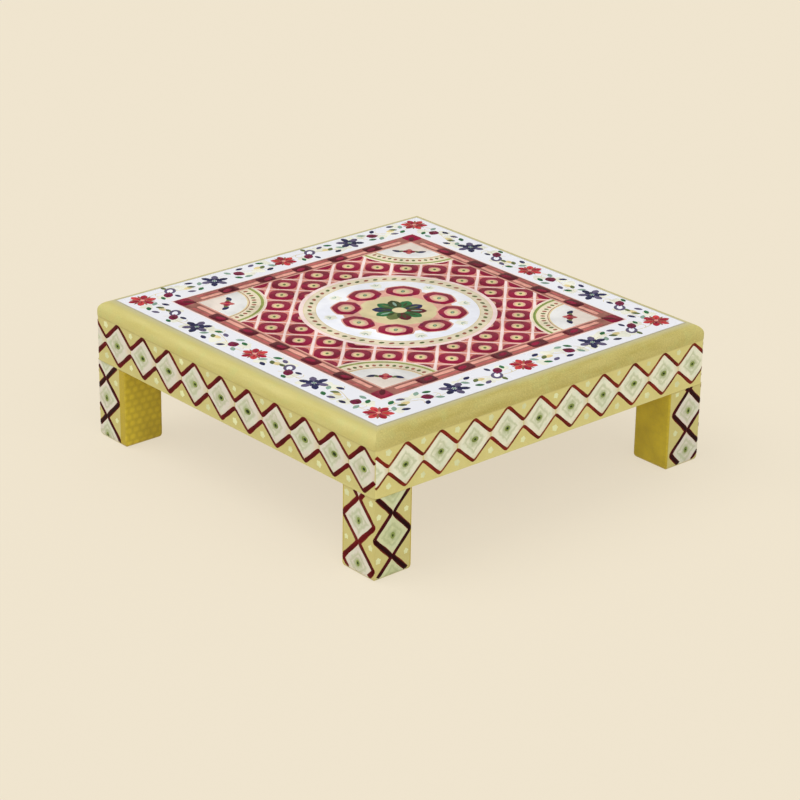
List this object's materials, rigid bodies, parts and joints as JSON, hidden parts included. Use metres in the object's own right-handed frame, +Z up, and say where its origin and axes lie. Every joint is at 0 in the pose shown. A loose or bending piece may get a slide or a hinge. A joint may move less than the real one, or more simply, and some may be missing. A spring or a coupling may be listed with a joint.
{
  "type": "low table",
  "caption": "Square low table with four short block legs, a rounded gold-coloured edge, a patterned skirt and an enamelled top.",
  "frame": {"origin": "on the floor under the middle of the table", "axes": "+Z up, -Y is the front side, the four sides are parallel to X and Y"},
  "size_m": [0.305, 0.305, 0.1045],
  "materials": {
    "wood_core": "planed softwood, unvarnished",
    "enamelled_sheet": "glossy white enamel with a painted pattern",
    "gold_foil": "gold-coloured lacquer over embossed foil",
    "painted_foil": "gold-coloured embossed foil with enamel lines and diamonds",
    "steel": "bright zinc",
    "brass_pins": "brass-plated"
  },
  "bodies": {
    "root": {"top_board": "wood_core", "apron_front": "wood_core", "apron_right": "wood_core", "apron_back": "wood_core", "apron_left": "wood_core", "leg_front_left": "wood_core", "leg_front_right": "wood_core", "leg_back_right": "wood_core", "leg_back_left": "wood_core", "enamel_top_sheet": "enamelled_sheet", "edge_foil_front": "gold_foil", "edge_foil_right": "gold_foil", "edge_foil_back": "gold_foil", "edge_foil_left": "gold_foil", "skirt_foil_front": "painted_foil", "skirt_foil_right": "painted_foil", "skirt_foil_back": "painted_foil", "skirt_foil_left": "painted_foil", "leg_pattern_foil_front_left": "painted_foil", "leg_pattern_foil_front_right": "painted_foil", "leg_pattern_foil_back_right": "painted_foil", "leg_pattern_foil_back_left": "painted_foil", "leg_plain_foil_front_left": "gold_foil", "leg_plain_foil_front_right": "gold_foil", "leg_plain_foil_back_right": "gold_foil", "leg_plain_foil_back_left": "gold_foil", "board_screws": "steel", "apron_nails": "steel", "foil_pins": "brass_pins"}
  },
  "joints": []
}
